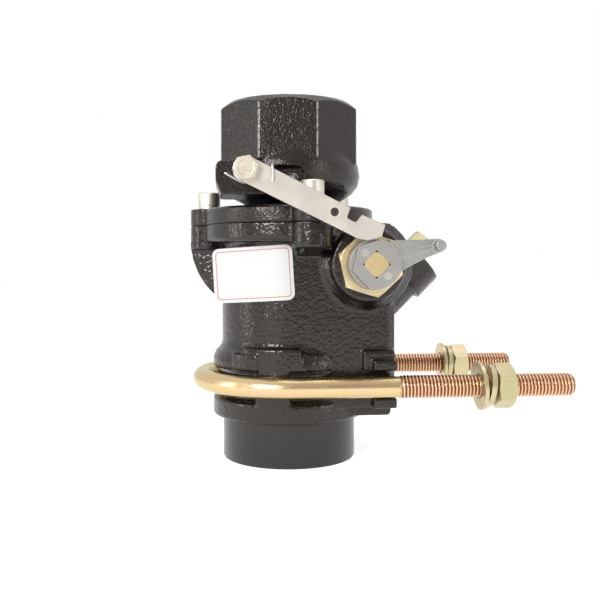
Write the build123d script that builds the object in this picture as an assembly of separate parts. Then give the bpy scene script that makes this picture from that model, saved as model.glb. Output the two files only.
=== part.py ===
from build123d import *
import os
from math import acos, atan2, cos, degrees, hypot, radians, sin, sqrt, tan

# Shear valve for a 1-1/2 inch pipe, in millimetres.
# The origin is the centre of the inlet's bottom face, +Z runs up the flow axis and -Y is the lever side.

# Running and seating clearances
running_fit = 0.07
seat_gap = 0.1
swing_gap = 0.3
press_gap = 0.02
hexagon_corner = 1.0
corner_margin = 0.2
coil_steps = 16
thread_gap = 0.05

# Pipe ends and flow way
pipe_thread_radius = 22.4
pipe_thread_length = 24.0
flow_radius = 17.0
chamber_radius = 25.0

# Lower casting
inlet_radius = 30.5
inlet_height = 20.0
skirt_radius = 35.2
skirt_height = 9.0
body_radius = 31.1
collar_radius = 35.3
collar_height = 7.5
collar_slope = ((0.0, -3.0), (1.3, 0.0), (3.8, 2.6), (4.2, 5.0))
groove_depth = 2.2
edge_break = 1.0
flange_root_fillet = 1.5
body_top = 107.0

# Flange between the halves
flange_radius = 38.9
lower_flange_thickness = 8.0
upper_flange_thickness = 7.4
ear_radius = 8.7
ear_depth = 11.0
screw_circle = 38.5
screw_angles = (166.0, 280.0, 45.0)
screw_seat_rise = (0.4, 2.2, 0.4)
rib_drops = (28.0, 6.0, 28.0)
rib_thickness = 9.0
rib_setback = 0.6
rib_belly = 0.24

# Seal in the flange's groove
seal_ring_radius = 30.6
seal_ring_width = 2.4
seal_groove_width = 2.8
seal_groove_depth = 2.0

# Flange screws, M6
screw_radius = 3.0
screw_head_radius = 5.2
screw_head_height = 6.0
screw_grip = 16.0
screw_hole_margin = 3.0
screw_head_corner = 0.5
screw_key_width = 5.0
lock_washer_radius = 5.0
lock_washer_thickness = 2.0
washer_split = 0.6
washer_split_slant = 25.0

# Upper casting
upper_top = body_top + 56.0
octagon_width = 61.6
octagon_turn = -5.5
octagon_foot = body_top + 27.5
octagon_root = 8.0
top_rim_radius = 28.5
top_chamfer_height = 3.8
neck_radius = 20.0
swell_radius = 33.0
swell_height = body_top + 22.5
neck_curve = ((1.2, 0.0), (0.0, 1.4), (1.2, 2.6))
swell_curve = ((6.6, -9.9), (3.6, -7.8), (1.0, -4.4), (0.0, 0.0), (0.6, 4.6), (3.0, 10.5))
scoop_radius = 12.0
scoop_place = (-4.5, -40.5)
scoop_corner = 3.0

# Pad under the bolt's bend at the front, and the wedge beside it
pad_bottom = 24.0
pad_top = 52.5
pad_x = (-16.6, -2.4)
pad_head_x = (-21.5, 2.5)
wedge_x = (-26.5, -16.5)
wedge_height = 7.0
wedge_lift = 1.0

# Side chamber of the lower casting
box_reach = 44.4
box_half_width = 31.0
box_corner = 3.2
box_foot = 21.9
box_plate = 4.7
box_wall = 4.0
box_roof_slope = (2.5, 7.5)
box_roof_drop = 0.5
foot_half_width = 25.0
foot_setback = 1.0
foot_chamfer = 1.2
side_wall = 5.0
pocket_floor = 34.0
pocket_ceiling = body_top - 10.0
pocket_ceiling_slope = (2.0, 6.0)

# Stem and flapper
stem_x = box_reach - 13.2
stem_z = body_top - 18.1
stem_radius = 5.0
square_width = 8.1
seat_ring_radius = 24.0
seat_ring_flange = 27.0
seat_ring_flange_thickness = 2.6
seat_face = body_top - 14.0
flapper_radius = 20.3
seal_thickness = 2.6
disc_thickness = 2.2
arm_thickness = 3.3
arm_width = 16.0
arm_neck_width = 12.0
arm_hub_radius = 7.4
arm_hub_length = 19.0
seal_plate_radius = 13.0
seal_plate_thickness = 2.1
flapper_stud_radius = 3.0
flapper_nut_width = 10.0
flapper_nut_thickness = 3.2
arm_pin_radius = 1.5
arm_pin_setback = 0.4
flapper_stud_end = 0.5

# Gland round the stem
gland_radius = 16.3
gland_root_radius = 21.0
gland_root_length = 5.2
gland_face = box_half_width + 7.0
stuffing_radius = 8.0
packing_thickness = 3.0
follower_thickness = 1.5
packing_nut_skirt = 3.4
packing_nut_width = 25.0
packing_nut_thickness = 5.0
packing_nut_turn = 42.5
packing_nut_corner = 1.6
rear_boss_radius = 11.0
rear_boss_face = box_half_width + 6.5
bush_radius = 7.0
bush_length = 6.5

# Lever, all in front of the packing nut
lever_disc_radius = 10.5
lever_disc_thickness = 5.5
lever_front = gland_face + 13.0
lever_arm_thickness = 3.0
lever_arm_setback = 0.8
lever_tip_reach = 28.0
lever_tip_angle = 16.1
lever_tip_radius = 2.9
lever_post_radius = 2.2
lever_upper_edge = ((5.5, 8.9), (8.5, 9.9))
lever_lower_edge = ((12.5, -2.1), (9.3, -4.6))
lever_tip_edge = ((-5.0, 2.7), (0.0, 2.9), (1.2, -2.6), (-5.0, -5.0))
lever_rib_start = (8.0, 3.1)
lever_rib_width = 2.2
lever_rib_end_width = 1.8
lever_rib_root = 1.0
hub_plate_thickness = 4.0
hub_plate_reach = 10.3
hub_arc_radius = 9.9
hub_corner_angles = (107.0, 165.0, 222.6, 280.0)
fusible_plug_radius = 1.5
fusible_plug_circle = 6.7
fusible_plug_angles = (135.0, 315.0)
fusible_plug_depth = 2.5

# Latch lug and link on the upper casting
pivot_x = stem_x - 53.1
pivot_z = body_top + 20.4
lug_left = pivot_x - 12.1
lug_right = pivot_x + 8.4
lug_bottom = body_top + 11.2
lug_cut = (2.2, 5.5)
lug_top = body_top + 25.4
lug_front = gland_face + 3.0
lug_root = 10.0
lug_corner = 3.0
link_back = lever_front + swing_gap
link_thickness = 3.0
link_slope = -26.0
link_half_width = 5.1
link_length = 61.6
notch_near = 44.9
notch_far = 50.0
notch_floor = 0.2
notch_slope = (0.4, 0.5)
notch_corner = 0.9
link_taper = 0.45
link_end = ((0.8, 4.8), (0.0, -0.2), (4.4, -3.9))
link_end_taper = 8.0
link_hole_place = (39.9, 0.3)
link_hole_radius = 1.8
link_bolt_radius = 2.95
link_bolt_head_width = 9.0
link_bolt_head_height = 3.6
link_bolt_turn = 12.0
link_bolt_dish_radius = 3.2
link_bolt_dish_depth = 0.5
link_bolt_thread = 13.0
link_spacer_radius = 3.7
spring_wire = 1.1
spring_coil_radius = 4.5
spring_turns = 4
spring_hook_along = 9.0
spring_hook_length = 6.6
spring_pitch = 1.6
hook_gap = 0.25
spring_hole_x = pivot_x - 8.4
spring_hole_z = pivot_z - 0.5
spring_hole_depth = 5.0
spring_leg_depth = 3.5
spring_hook_lean = 0.3

# Closing spring on the stem, inside the chamber
closing_wire = 1.6
closing_coil_radius = 6.6
closing_leg = 19.0
closing_pitch = 2.0
closing_room = box_half_width - side_wall - arm_hub_length / 2 - 2 * closing_wire
closing_turns = int(closing_room / closing_pitch) - 1
closing_wall_drop = 12.0
closing_wall_foot = 8.0

# Test boss, at 45 degrees in the plane of the side chamber
test_face_x = box_reach + 14.0
test_face_z = body_top - 13.0
test_boss_radius = 16.7
test_boss_length = 13.0
test_neck_radius = 14.7
test_neck_length = 26.0
test_bore_margin = 8.0
test_plug_radius = 6.5
test_plug_shank = 9.0
test_plug_head_width = 11.0
test_plug_head_height = 8.0
test_washer_radius = 7.8
test_washer_thickness = 1.5

# U-bolt, M10
ubolt_z = 36.8
ubolt_bend_radius = 40.0
ubolt_shank_radius = 4.5
ubolt_thread_radius = 5.0
ubolt_thread_start = 43.0
ubolt_end = 120.0
ubolt_nut_width = 17.0
ubolt_nut_thickness = 8.0
ubolt_nut_faces = (84.9, 88.8)
ubolt_nut_turns = (30.0, 38.5)
ubolt_nut_face_inset = 0.3
ubolt_nut_chamfer_angle = 30.0
ubolt_lock_washer_thickness = 2.2
ubolt_lock_washer_radius = 9.0
ubolt_lock_washer_tilts = (7.0, 3.0)
ubolt_flat_washer_radius = 10.3
ubolt_flat_washer_thickness = 1.6
ubolt_flat_washer_play = 0.4
ubolt_washer_tilts = (3.0, 2.0)
guide_length = 10.0
guide_height = 4.4
guide_reach = 6.5
guide_root = 2.0
guide_setback = 0.9
guide_lift = 1.4
guide_block_length = 14.0
guide_block_reach = 2.5
guide_block_height = 9.0
guide_block_overhang = 0.7

# Sticker on the front of the body, squared up along the direction it is read from
label_reading_angle = -95.5
label_shift = -15.4
label_middle = body_top - 22.4
label_width = 35.6
label_height = 24.0
label_tilt = 3.5
label_thickness = 0.4
label_first_angle = -84.0
label_leave_angle = -115.5
label_free_length = 28.0
label_corner = 3.0


def z_cylinder(radius, low, high, x=0, y=0):
    """A round bar along Z."""
    return extrude(Plane.XY.offset(low) * Pos(x, y) * Circle(radius), amount=high - low)


def z_ring(outer, inner, low, high, x=0, y=0):
    """A ring whose axis is along Z."""
    return z_cylinder(outer, low, high, x, y) - z_cylinder(inner, low, high, x, y)


def slab(sketch, back, front):
    """A sketch in X and Z, made solid between two distances in front of the flow axis."""
    return extrude(Plane.XZ.offset(back) * sketch, amount=front - back)


def y_cylinder(x, z, radius, back, front):
    """A round bar towards the front."""
    return slab(Pos(x, z) * Circle(radius), back, front)


def y_ring(x, z, outer, inner, back, front):
    """A ring whose axis runs to the front."""
    return slab(Pos(x, z) * (Circle(outer) - Circle(inner)), back, front)


def hexagon(width):
    """A hexagon by its width across flats."""
    return RegularPolygon(width / sqrt(3), 6)


def turned(points):
    """A solid of revolution about the flow axis, from radius and height pairs."""
    return revolve(Plane.XZ * make_face(Polyline(*points, close=True)), Axis.Z)


def on_circle(radius, angle):
    """A point on a circle round the flow axis."""
    return radius * cos(radians(angle)), radius * sin(radians(angle))


def leaving_angle(along, up, radius, side):
    """Where a straight leg to a point beside the coil's axis leaves the coil."""
    return degrees(atan2(up, along)) - side * degrees(acos(radius / hypot(along, up)))


def coil_angles(x, z, radius, whole_turns, back_toe, front_toe):
    """Where a coil starts, and its turns, so that both legs leave it along the wire."""
    first = leaving_angle(back_toe[0] - x, back_toe[1] - z, radius, -1)
    last = leaving_angle(front_toe[0] - x, front_toe[1] - z, radius, 1)
    return first, whole_turns + ((last - first) / 360) % 1


def torsion_spring(x, z, back, radius, pitch, first, turns, wire_radius, back_leg, front_leg):
    """Turns round an axis to the front, with a leg from each end, as one wire with six flats."""
    steps = round(turns * coil_steps)
    coil = []
    for step in range(steps + 1):
        along, up = on_circle(radius, first + 360 * turns * step / steps)
        coil.append((x + along, -back - pitch * turns * step / steps, z + up))
    points = list(reversed(back_leg)) + coil + front_leg
    heading = Vector(*points[1]) - Vector(*points[0])
    section = Plane(origin=points[0], z_dir=heading) * RegularPolygon(wire_radius, 6)
    return sweep(section, path=Polyline(*points), transition=Transition.RIGHT)


screw_places = [on_circle(screw_circle, angle) for angle in screw_angles]
screw_seats = [body_top + upper_flange_thickness + rise for rise in screw_seat_rise]
test_axis = Vector(1, 0, 1).normalized()
test_plane = Plane(origin=(test_face_x, 0, test_face_z), x_dir=(0, 1, 0), z_dir=test_axis)
collar_bottom = ubolt_z + ubolt_thread_radius
groove_radius = skirt_radius - groove_depth
pad_radius = ubolt_bend_radius - ubolt_shank_radius - seat_gap
wedge_radius = pad_radius + wedge_lift
nut_face = gland_face + swing_gap + packing_nut_thickness
lock_washer_leans = [ubolt_lock_washer_radius * sin(radians(tilt)) for tilt in ubolt_lock_washer_tilts]
lock_washer_middles = [
    face - seat_gap - ubolt_lock_washer_thickness / 2 - lean
    for face, lean in zip(ubolt_nut_faces, lock_washer_leans)
]
octagon_corner = octagon_width / 2 / cos(radians(22.5))
disc_top = seat_face - swing_gap - seal_thickness
arm_top = disc_top - disc_thickness
stud_foot = arm_top - arm_thickness - flapper_nut_thickness - flapper_stud_end
packing_floor = gland_face - packing_thickness - follower_thickness - packing_nut_skirt


def side_box():
    """The flat-sided housing of the flapper's pocket, with its foot plate."""
    roof = body_top - lower_flange_thickness - box_roof_drop
    outline = Polyline(
        (0, box_foot + box_plate),
        (box_reach, box_foot + box_plate),
        (box_reach, roof - box_roof_slope[1]),
        (box_reach - box_roof_slope[0], roof),
        (0, roof),
        close=True,
    )
    box = slab(make_face(outline), -box_half_width, box_half_width)
    corners = box.edges().filter_by(Axis.Z).group_by(Axis.X)[-1]
    box = chamfer(corners, box_corner)
    foot_reach = box_reach - foot_setback
    foot = Plane.XY.offset(box_foot) * Pos(foot_reach / 2, 0) * Rectangle(foot_reach, 2 * foot_half_width)
    foot = extrude(foot, amount=box_plate)
    low_edge = foot.edges().filter_by(Axis.Y).group_by(Axis.X)[-1].group_by(Axis.Z)[0]
    return box + chamfer(low_edge, foot_chamfer)


def ubolt_guides():
    """Prongs above and below each leg of the bolt, and the blocks behind the upper ones."""
    guides = []
    end = box_reach - guide_setback
    upper = ubolt_z + ubolt_thread_radius + guide_lift
    lower = ubolt_z - ubolt_thread_radius - swing_gap
    for side in (-1, 1):
        middle = side * (box_half_width + (guide_reach - guide_root) / 2)
        for z in (upper + guide_height / 2, lower - guide_height / 2):
            prong = Box(guide_length, guide_reach + guide_root, guide_height)
            guides.append(Pos(end - guide_length / 2, middle, z) * prong)
        block = Box(guide_block_length, 2 * guide_block_reach, guide_block_height)
        block_middle = upper - guide_block_overhang + guide_block_height / 2
        guides.append(Pos(end - guide_block_length / 2, side * box_half_width, block_middle) * block)
    return guides


def gusset(drop):
    """The curved rib under an ear, before it is turned to its place."""
    shoulder = body_top - lower_flange_thickness
    reach = screw_circle + ear_radius - rib_setback
    root = body_radius - 1
    belly = (reach - rib_belly * (reach - body_radius), shoulder - drop / 2)
    edge = ThreePointArc((reach, shoulder), belly, (root, shoulder - drop))
    back = Polyline((root, shoulder - drop), (root - 3, shoulder), (reach, shoulder))
    return extrude(Plane.XZ * make_face(edge + back), amount=rib_thickness / 2, both=True)


def lower_ear(place, angle, drop):
    """A flange ear with its boss and rib."""
    ear = z_cylinder(ear_radius, body_top - ear_depth, body_top, *place)
    return ear + Rot(0, 0, angle) * gusset(drop)


def lower_outside():
    """The turned outline of the inlet, skirt, bolt groove, collar, barrel and flange."""
    flange_foot = body_top - lower_flange_thickness
    return turned([
        (0, 0),
        (inlet_radius - edge_break, 0),
        (inlet_radius, edge_break),
        (inlet_radius, inlet_height),
        (skirt_radius - edge_break, inlet_height),
        (skirt_radius, inlet_height + edge_break),
        (skirt_radius, inlet_height + skirt_height - edge_break),
        (groove_radius, inlet_height + skirt_height + edge_break),
        (groove_radius, collar_bottom - edge_break),
        (collar_radius - edge_break, collar_bottom),
        (collar_radius, collar_bottom + edge_break),
        *[(collar_radius - inward, collar_bottom + collar_height + up) for inward, up in collar_slope],
        (body_radius, flange_foot - flange_root_fillet),
        (body_radius + flange_root_fillet, flange_foot),
        (flange_radius - edge_break, flange_foot),
        (flange_radius, flange_foot + edge_break),
        (flange_radius, body_top),
        (0, body_top),
    ])


def lower_inside():
    """The pipe thread, the chamber, the seat ring's bore and its counterbore."""
    return turned([
        (0, 0),
        (pipe_thread_radius, 0),
        (pipe_thread_radius, pipe_thread_length),
        (chamber_radius, pipe_thread_length + chamber_radius - pipe_thread_radius),
        (chamber_radius, seat_face),
        (seat_ring_radius + seat_gap, seat_face),
        (seat_ring_radius + seat_gap, body_top - seat_ring_flange_thickness),
        (seat_ring_flange + seat_gap, body_top - seat_ring_flange_thickness),
        (seat_ring_flange + seat_gap, body_top),
        (0, body_top),
    ])


def pocket():
    """The side pocket that the open flapper hangs in."""
    reach = box_reach - box_wall
    outline = Polyline(
        (0, pocket_floor),
        (reach, pocket_floor),
        (reach, pocket_ceiling - pocket_ceiling_slope[1]),
        (reach - pocket_ceiling_slope[0], pocket_ceiling),
        (0, pocket_ceiling),
        close=True,
    )
    return slab(make_face(outline), side_wall - box_half_width, box_half_width - side_wall)


def front_pads():
    """The curved pad under the bolt with its wider head, and the wedge beside it."""
    pad = z_cylinder(pad_radius, pad_bottom, pad_top) & front_block(*pad_x)
    head_foot = collar_bottom + collar_height / 2
    pad += z_cylinder(pad_radius, head_foot, pad_top) & front_block(*pad_head_x)
    wedge_foot = collar_bottom + edge_break
    wedge = z_cylinder(wedge_radius, wedge_foot, wedge_foot + wedge_height)
    return pad + (wedge & front_block(*wedge_x))


def front_block(left, right):
    """A block that takes in only the front of the casting between two places along X."""
    depth = ubolt_bend_radius
    return Pos((left + right) / 2, -depth, body_top / 2) * Box(right - left, depth, body_top)


def lower_body():
    """The inlet half of the valve, one casting."""
    casting = lower_outside() + side_box() + front_pads()
    for guide in ubolt_guides():
        casting += guide
    for place, angle, drop in zip(screw_places, screw_angles, rib_drops):
        casting += lower_ear(place, angle, drop)
    gland = y_cylinder(stem_x, stem_z, gland_radius, box_half_width - 3, gland_face)
    casting += chamfer(gland.edges().group_by(Axis.Y)[0], edge_break)
    root = Cone(gland_root_radius, gland_radius, gland_root_length)
    casting += Pos(stem_x, 1 - box_half_width - gland_root_length / 2, stem_z) * Rot(90, 0, 0) * root
    casting -= z_cylinder(2 * flange_radius, body_top, body_top + gland_root_radius)
    casting += y_cylinder(stem_x, stem_z, rear_boss_radius, -rear_boss_face, 3 - box_half_width)
    casting += test_plane * Pos(0, 0, -test_boss_length / 2) * Cylinder(test_boss_radius, test_boss_length)
    neck_middle = -test_boss_length - test_neck_length / 2
    casting += test_plane * Pos(0, 0, neck_middle) * Cylinder(test_neck_radius, test_neck_length)
    casting = casting - lower_inside() - pocket()
    bore_length = test_boss_length + test_neck_length - test_bore_margin
    test_bore = Cylinder(test_plug_radius + running_fit, bore_length)
    casting -= test_plane * Pos(0, 0, -bore_length / 2) * test_bore
    casting -= y_cylinder(stem_x, stem_z, stuffing_radius, packing_floor, gland_face)
    casting -= y_cylinder(stem_x, stem_z, stem_radius + running_fit, 0, gland_face)
    bush_back = side_wall - box_half_width - bush_length
    casting -= y_cylinder(stem_x, stem_z, bush_radius, bush_back - seat_gap, side_wall - box_half_width)
    for place, seat in zip(screw_places, screw_seats):
        foot = seat + lock_washer_thickness - screw_grip - screw_hole_margin
        casting -= z_cylinder(screw_radius + running_fit, foot, body_top, *place)
    groove = (seal_ring_radius + seal_groove_width / 2, seal_ring_radius - seal_groove_width / 2)
    return casting - z_ring(*groove, body_top - seal_groove_depth, body_top)


def upper_outside():
    """The turned outline from the flange over the shear neck and the swelling to the octagon."""
    flange_top = body_top + upper_flange_thickness
    return turned([
        (0, body_top),
        (flange_radius, body_top),
        (flange_radius, flange_top - edge_break),
        (flange_radius - edge_break, flange_top),
        *[(neck_radius + out, flange_top + up) for out, up in neck_curve],
        *[(swell_radius - inward, swell_height + up) for inward, up in swell_curve],
        (swell_radius - 3, octagon_foot + octagon_root),
        (0, octagon_foot + octagon_root),
    ])


def wrench_octagon():
    """The eight flats, with the corners turned off at the top."""
    octagon = RegularPolygon(octagon_width / 2, 8, major_radius=False, rotation=22.5 + octagon_turn)
    octagon = extrude(Plane.XY.offset(octagon_foot) * octagon, amount=upper_top - octagon_foot)
    slope = top_chamfer_height / (octagon_corner - top_rim_radius)
    return octagon & turned([
        (0, octagon_foot),
        (octagon_width, octagon_foot),
        (octagon_width, upper_top - slope * (octagon_width - top_rim_radius)),
        (top_rim_radius, upper_top),
        (0, upper_top),
    ])


def latch_lug():
    """The block that carries the link, its lower outer corner cut away."""
    outline = Polyline(
        (lug_left, lug_top),
        (lug_right, lug_top),
        (lug_right, lug_bottom),
        (lug_left + lug_cut[0], lug_bottom),
        (lug_left, lug_bottom + lug_cut[1]),
        close=True,
    )
    lug = slab(make_face(outline), lug_root, lug_front)
    upper_edge = lug.edges().filter_by(Axis.Y).sort_by(Axis.Z)[-2:].sort_by(Axis.X)[0]
    return fillet(upper_edge, lug_corner)


def upper_body():
    """The outlet half: flange, shear neck, swelling, octagon and latch lug, one casting."""
    casting = upper_outside() + wrench_octagon()
    flange_top = body_top + upper_flange_thickness
    scoop = z_cylinder(scoop_radius, flange_top, octagon_foot - 3, *scoop_place)
    casting -= fillet(scoop.edges().group_by(Axis.Z)[-1], scoop_corner)
    casting += latch_lug()
    for place, seat in zip(screw_places, screw_seats):
        casting += z_cylinder(ear_radius, body_top, seat, *place)
    casting -= z_cylinder(flow_radius, body_top, upper_top)
    casting -= z_cylinder(pipe_thread_radius, upper_top - pipe_thread_length, upper_top)
    for place, seat in zip(screw_places, screw_seats):
        casting -= z_cylinder(screw_radius + swing_gap, body_top, seat, *place)
    bolt_hole = lug_front - link_bolt_thread - 1
    casting -= y_cylinder(pivot_x, pivot_z, link_bolt_radius + running_fit, bolt_hole, lug_front)
    hole_end = lug_front - spring_hole_depth
    hole_radius = spring_wire / 2 + swing_gap
    return casting - y_cylinder(spring_hole_x, spring_hole_z, hole_radius, hole_end, lug_front)


def seat_ring():
    """The seat, dropped into the lower half and held by the upper one."""
    flange_foot = body_top - seat_ring_flange_thickness
    ring = z_ring(seat_ring_radius, flow_radius, seat_face, flange_foot)
    return ring + z_ring(seat_ring_flange, flow_radius, flange_foot, body_top)


def flange_seal():
    """The flat ring in its groove between the halves."""
    half_width = seal_ring_width / 2
    low = body_top - seal_groove_depth + thread_gap
    return z_ring(seal_ring_radius + half_width, seal_ring_radius - half_width, low, body_top)


def flange_screws():
    """Socket-head screws."""
    screws = []
    for place, seat in zip(screw_places, screw_seats):
        under_head = seat + lock_washer_thickness
        head = z_cylinder(screw_head_radius, under_head, under_head + screw_head_height, *place)
        head = chamfer(head.edges().group_by(Axis.Z)[-1], screw_head_corner)
        socket = Plane.XY.offset(under_head + screw_head_height / 2) * Pos(*place) * hexagon(screw_key_width)
        shank = z_cylinder(screw_radius, under_head - screw_grip, under_head, *place)
        screws.append(head + shank - extrude(socket, amount=screw_head_height))
    return Compound(children=screws)


def split_washer(plane, outer, inner, thickness):
    """A spring lock washer with its slanted split."""
    ring = extrude(plane * (Circle(outer) - Circle(inner)), amount=thickness)
    split = Box(outer - inner + 1, washer_split, 3 * thickness)
    return ring - plane * Pos((outer + inner) / 2, 0, thickness / 2) * Rot(washer_split_slant, 0, 0) * split


def flange_lock_washers():
    """One spring washer under each screw."""
    washers = []
    inner = screw_radius + seat_gap
    for (x, y), seat in zip(screw_places, screw_seats):
        plane = Plane(origin=(x, y, seat), z_dir=(0, 0, 1))
        washers.append(split_washer(plane, lock_washer_radius, inner, lock_washer_thickness))
    return Compound(children=washers)


def stem_packing():
    """Soft ring round the stem."""
    outer = stuffing_radius - thread_gap
    front = packing_floor + packing_thickness
    return y_ring(stem_x, stem_z, outer, stem_radius + running_fit, packing_floor, front)


def packing_follower():
    """Ring that spreads the nut's push over the packing."""
    outer = stuffing_radius - seat_gap
    back = packing_floor + packing_thickness
    return y_ring(stem_x, stem_z, outer, stem_radius + running_fit, back, back + follower_thickness)


def packing_nut():
    """Hexagon gland nut with its threaded skirt."""
    back = packing_floor + packing_thickness + follower_thickness
    face = gland_face + swing_gap
    nut = y_cylinder(stem_x, stem_z, stuffing_radius - thread_gap, back, face)
    outline = Pos(stem_x, stem_z) * Rot(0, 0, packing_nut_turn) * hexagon(packing_nut_width)
    head = slab(outline, face, nut_face)
    corner = packing_nut_width / sqrt(3)
    round_off = y_cylinder(stem_x, stem_z, corner + corner_margin, face - 1, nut_face)
    round_off = chamfer(round_off.edges().group_by(Axis.Y)[0], packing_nut_corner)
    return nut + (head & round_off) - y_cylinder(stem_x, stem_z, stem_radius + running_fit, 0, nut_face)


def stem_bush():
    """Plain bush in the blind boss at the back."""
    outer = bush_radius - thread_gap
    front = side_wall - box_half_width
    return y_ring(stem_x, stem_z, outer, stem_radius + running_fit, front - bush_length, front)


def diamond(width):
    """A square standing on its corner."""
    return Rot(0, 0, 45) * Rectangle(width, width)


def stem():
    """Round stem with a squared front end for the lever."""
    back = side_wall - box_half_width - bush_length + 1
    shoulder = lever_front - lever_disc_thickness - seat_gap
    front = lever_front + hub_plate_thickness
    bar = y_cylinder(stem_x, stem_z, stem_radius, back, shoulder)
    square = slab(Pos(stem_x, stem_z) * diamond(square_width), shoulder, front)
    bar += square & y_cylinder(stem_x, stem_z, stem_radius, shoulder, front)
    return bar - z_cylinder(arm_pin_radius, stem_z - arm_hub_length, stem_z + arm_hub_length, stem_x, 0)


def lever_sketch():
    """The lever's arm seen from the front, from its hub to its round tip."""
    tip = on_circle(lever_tip_reach, lever_tip_angle)
    arm = make_face(Polyline(
        *lever_upper_edge,
        *[(tip[0] + along, tip[1] + up) for along, up in lever_tip_edge],
        *lever_lower_edge,
        close=True,
    ))
    return arm + Pos(*tip) * Circle(lever_tip_radius)


def lever():
    """Die-cast lever: disc, arm, raised rib, and the post that the link catches."""
    tip = on_circle(lever_tip_reach, lever_tip_angle)
    back = lever_front - lever_disc_thickness
    arm_front = lever_front - lever_arm_setback
    place = Pos(stem_x, stem_z)
    casting = slab(place * Circle(lever_disc_radius), back, lever_front)
    casting += slab(place * lever_sketch(), arm_front - lever_arm_thickness, arm_front)
    rib = make_face(Polyline(
        (lever_rib_start[0], lever_rib_start[1] - lever_rib_width / 2),
        (lever_rib_start[0], lever_rib_start[1] + lever_rib_width / 2),
        (tip[0], tip[1] + lever_rib_end_width / 2),
        (tip[0], tip[1] - lever_rib_end_width / 2),
        close=True,
    ))
    casting += slab(place * rib, arm_front - lever_rib_root, lever_front - seat_gap)
    post = place * Pos(*tip) * Circle(lever_post_radius)
    casting += slab(post, arm_front, lever_front + hub_plate_thickness)
    casting -= slab(place * diamond(square_width + 2 * running_fit), back, lever_front)
    plug_end = lever_front - fusible_plug_depth
    for angle in fusible_plug_angles:
        plug = on_circle(fusible_plug_circle, angle)
        casting -= slab(place * Pos(*plug) * Circle(fusible_plug_radius), plug_end, lever_front)
    return casting


def hub_plate():
    """Plate on the squared stem: part hexagon, part round, over the lever's disc."""
    corners = [on_circle(hub_plate_reach, -angle) for angle in hub_corner_angles]
    middle = sum(hub_corner_angles[::3]) / 2 + 180
    rim = ThreePointArc(corners[-1], on_circle(hub_arc_radius, -middle), corners[0])
    outline = make_face(Polyline(*corners) + rim)
    front = lever_front + hub_plate_thickness
    place = Pos(stem_x, stem_z)
    plate = slab(place * outline, lever_front, front)
    plate -= slab(place * diamond(square_width + 2 * running_fit), lever_front, front)
    for angle in fusible_plug_angles:
        plug = on_circle(fusible_plug_circle, angle)
        plate -= slab(place * Pos(*plug) * Circle(fusible_plug_radius), lever_front, front)
    return plate


def fusible_plugs():
    """Low-melting plugs that pin the plate to the lever."""
    plugs = []
    back = lever_front - fusible_plug_depth
    front = lever_front + hub_plate_thickness
    for angle in fusible_plug_angles:
        x, z = on_circle(fusible_plug_circle, angle)
        plugs.append(y_cylinder(stem_x + x, stem_z + z, fusible_plug_radius - press_gap, back, front))
    return Compound(children=plugs)


def flapper_disc():
    """Stiff disc with its centre stud."""
    disc = z_cylinder(flapper_radius, arm_top, disc_top)
    return disc + z_cylinder(flapper_stud_radius, stud_foot, arm_top)


def flapper_seal():
    """Rubber ring that meets the seat."""
    return z_ring(flapper_radius, seal_plate_radius + press_gap, disc_top, disc_top + seal_thickness)


def seal_plate():
    """Plate that holds the rubber on the disc."""
    plate = z_cylinder(seal_plate_radius, disc_top, disc_top + seal_plate_thickness)
    return chamfer(plate.edges().group_by(Axis.Z)[-1], seal_plate_thickness / 4)


def flapper_arm():
    """Cast arm from the stem to the disc's stud."""
    hub = y_cylinder(stem_x, stem_z, arm_hub_radius, -arm_hub_length / 2, arm_hub_length / 2)
    low = arm_top - arm_thickness
    web = Pos(stem_x / 2, 0) * Rectangle(stem_x, arm_neck_width) + Circle(arm_width / 2)
    web = Plane.XY.offset(low) * web
    arm = hub + extrude(web, amount=arm_thickness)
    arm -= z_cylinder(flapper_radius + swing_gap, arm_top, seat_face)
    arm -= y_cylinder(stem_x, stem_z, stem_radius + press_gap, -arm_hub_length, arm_hub_length)
    arm -= z_cylinder(flapper_stud_radius + press_gap, low, arm_top)
    return arm - z_cylinder(arm_pin_radius, stem_z - arm_hub_length, stem_z + arm_hub_length, stem_x, 0)


def arm_pin():
    """Cross pin that locks the arm to the stem."""
    half_length = arm_hub_radius - arm_pin_setback
    return z_cylinder(arm_pin_radius - press_gap, stem_z - half_length, stem_z + half_length, stem_x, 0)


def flapper_nut():
    """Thin nut under the arm."""
    top = arm_top - arm_thickness
    nut = Plane.XY.offset(top - flapper_nut_thickness) * hexagon(flapper_nut_width)
    nut = extrude(nut, amount=flapper_nut_thickness)
    return nut - z_cylinder(flapper_stud_radius + press_gap, stud_foot, top)


def closing_spring():
    """Torsion spring round the stem that shuts the flapper, one leg under the arm."""
    r = closing_wire / 2
    toe = (stem_x - closing_leg, arm_top - arm_thickness - r - seat_gap)
    wall = (box_reach - box_wall - r - swing_gap, stem_z - closing_wall_drop)
    first, turns = coil_angles(stem_x, stem_z, closing_coil_radius, closing_turns, toe, wall)
    back = arm_hub_length / 2 + closing_wire
    front = back + closing_pitch * turns
    arm_leg = [(toe[0], -back, toe[1]), (toe[0], -arm_neck_width / 4, toe[1])]
    wall_leg = [(wall[0], -front, wall[1]), (wall[0], -front, wall[1] - closing_wall_foot)]
    return torsion_spring(
        stem_x, stem_z, back, closing_coil_radius, closing_pitch, first, turns, r, arm_leg, wall_leg)


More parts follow.
